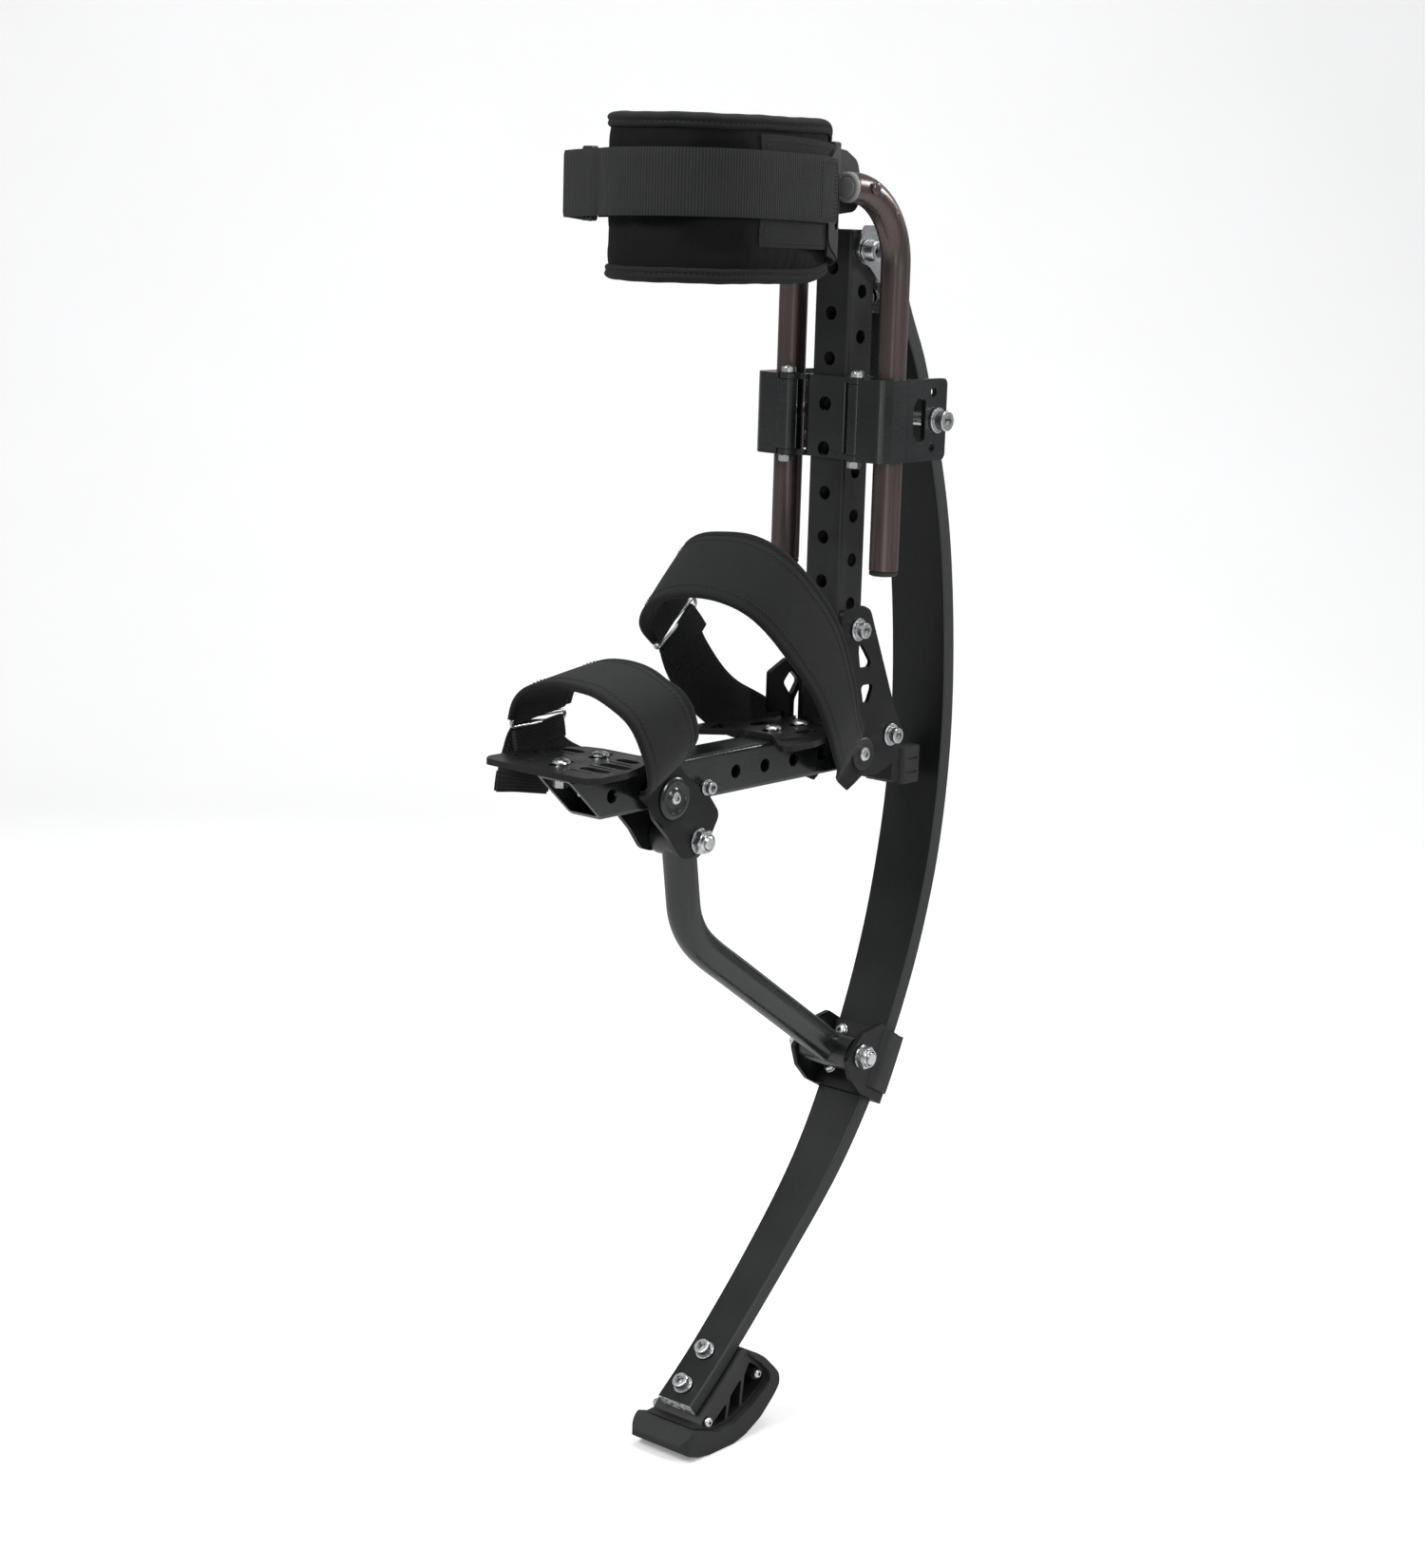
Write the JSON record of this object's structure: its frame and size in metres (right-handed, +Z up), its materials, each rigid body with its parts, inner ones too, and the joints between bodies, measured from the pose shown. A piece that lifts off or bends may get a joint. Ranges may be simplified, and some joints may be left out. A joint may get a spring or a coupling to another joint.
{
  "type": "jumping stilt",
  "caption": "Spring-leaf jumping stilt for one leg: padded knee cuff on two rods, upright, strapped foot platform, push rod, bowed leaf spring and rubber hoof.",
  "frame": {"origin": "floor level at the hoof's flat ground contact, on the mid plane of the stilt", "axes": "+X forward towards the toe, +Y to the wearer's left, +Z up along the upright; the foot beam is horizontal at rest"},
  "size_m": [0.4509, 0.1492, 0.997],
  "materials": {
    "black_anodised_aluminium": "satin black anodised",
    "black_laminate": "black-pigmented fibre laminate",
    "black_painted_steel": "satin black powder coat",
    "black_plastic": "moulded",
    "black_rubber": "matte rubber",
    "bright_zinc": "bright zinc plate",
    "bronze_anodised_tube": "satin anodised",
    "hoof_casting": "moulded",
    "neoprene_pad": "foam pad with bound edges",
    "padded_fabric": "padded brushed fabric",
    "webbing": "woven webbing"
  },
  "bodies": {
    "upright": {"upright_channel": "black_anodised_aluminium", "ankle_plate_left": "black_painted_steel", "ankle_plate_right": "black_painted_steel", "ankle_plate_top_bolt": "bright_zinc", "ankle_plate_rear_bolt": "bright_zinc", "bumper_bracket": "black_painted_steel", "rebound_bumper": "black_rubber", "calf_bracket": "black_painted_steel", "calf_bracket_bolt": "bright_zinc", "rod_clamp_arm_left": "black_painted_steel", "clamp_hinge_pin_left": "bright_zinc", "rod_clamp_arm_right": "black_painted_steel", "clamp_hinge_pin_right": "bright_zinc", "rod_clamp_bolt": "bright_zinc", "ankle_pivot_bolt": "bright_zinc", "top_pivot_bolt": "bright_zinc"},
    "spring": {"leaf_spring": "black_laminate", "spring_top_bracket": "bright_zinc", "spring_top_bolt": "bright_zinc", "spring_clamp_bracket": "bright_zinc", "spring_clamp_plate": "bright_zinc", "spring_clamp_bolt_upper_left": "bright_zinc", "spring_clamp_bolt_upper_right": "bright_zinc", "spring_clamp_bolt_lower_left": "bright_zinc", "spring_clamp_bolt_lower_right": "bright_zinc", "push_rod_lower_bolt": "bright_zinc", "hoof_tread": "black_rubber", "hoof_core": "hoof_casting", "hoof_bolt_upper": "bright_zinc", "hoof_bolt_lower": "bright_zinc", "hoof_cross_bolt_front": "bright_zinc"},
    "push_rod": {"push_rod": "black_painted_steel", "push_rod_lower_bush": "black_plastic"},
    "toe_plate": {"toe_plate": "black_painted_steel"},
    "heel_plate": {"heel_plate": "black_painted_steel"},
    "toe_strap": {"toe_strap_pad": "padded_fabric", "toe_strap_web": "webbing", "toe_strap_ring": "bright_zinc"},
    "heel_strap": {"heel_strap_pad": "padded_fabric", "heel_strap_web": "webbing", "heel_strap_ring": "bright_zinc"},
    "foot_platform": {"foot_beam": "black_anodised_aluminium", "front_yoke_left": "black_painted_steel", "front_yoke_right": "black_painted_steel", "yoke_rear_bolt": "bright_zinc", "push_rod_upper_bolt": "bright_zinc", "toe_strap_bolt": "bright_zinc", "toe_plate_bolt_front": "bright_zinc", "toe_plate_bolt_rear": "bright_zinc", "heel_plate_bolt_front": "bright_zinc", "heel_plate_bolt_rear": "bright_zinc"},
    "knee_rods": {"knee_rod_left": "bronze_anodised_tube", "knee_rod_end_plug_left": "black_plastic", "knee_rod_right": "bronze_anodised_tube", "knee_rod_end_plug_right": "black_plastic"},
    "cuff": {"cuff_pad": "neoprene_pad", "cuff_shell": "black_plastic", "cuff_pivot_screw_left": "bright_zinc", "cuff_pivot_screw_right": "bright_zinc", "cuff_strap": "webbing"}
  },
  "joints": [
    {"name": "ankle_hinge", "type": "hinge", "parent": "upright", "child": "foot_platform", "pos_m": [-0.149, 0, 0.524], "axis": [0, 1, 0], "range_deg": [-5, 6], "stiffness_Nm_per_rad": 1500},
    {"name": "spring_top_hinge", "type": "hinge", "parent": "upright", "child": "spring", "pos_m": [-0.136, 0, 0.905], "axis": [0, 1, 0], "range_deg": [-2.2, 2.6]},
    {"name": "push_rod_lower_hinge", "type": "hinge", "parent": "spring", "child": "push_rod", "pos_m": [-0.156, 0, 0.281], "axis": [0, 1, 0], "range_deg": [-3.3, 3.9]},
    {"name": "knee_height_slide", "type": "slide", "parent": "upright", "child": "knee_rods", "axis": [0, 0, 1], "range_m": [-0.04, 0.06], "stiffness_N_per_m": 30000},
    {"name": "cuff_tilt", "type": "hinge", "parent": "knee_rods", "child": "cuff", "pos_m": [-0.092, 0, 0.951], "axis": [0, 1, 0], "range_deg": [-12, 12], "stiffness_Nm_per_rad": 60},
    {"name": "toe_plate_slide", "type": "slide", "parent": "foot_platform", "child": "toe_plate", "axis": [1, 0, 0], "range_m": [-0.006, 0.006], "stiffness_N_per_m": 40000},
    {"name": "heel_plate_slide", "type": "slide", "parent": "foot_platform", "child": "heel_plate", "axis": [1, 0, 0], "range_m": [-0.006, 0.006], "stiffness_N_per_m": 40000},
    {"name": "toe_strap_swing", "type": "hinge", "parent": "foot_platform", "child": "toe_strap", "pos_m": [0.07, 0, 0.52], "axis": [0, 1, 0], "range_deg": [-8, 8], "stiffness_Nm_per_rad": 8},
    {"name": "heel_strap_swing", "type": "hinge", "parent": "foot_platform", "child": "heel_strap", "pos_m": [-0.149, 0, 0.524], "axis": [0, 1, 0], "range_deg": [-5, 1.5], "stiffness_Nm_per_rad": 12}
  ],
  "couplings": [
    {"joint": "spring_top_hinge", "follows": "ankle_hinge", "ratio": 0.3908},
    {"joint": "push_rod_lower_hinge", "follows": "ankle_hinge", "ratio": 0.6134}
  ]
}
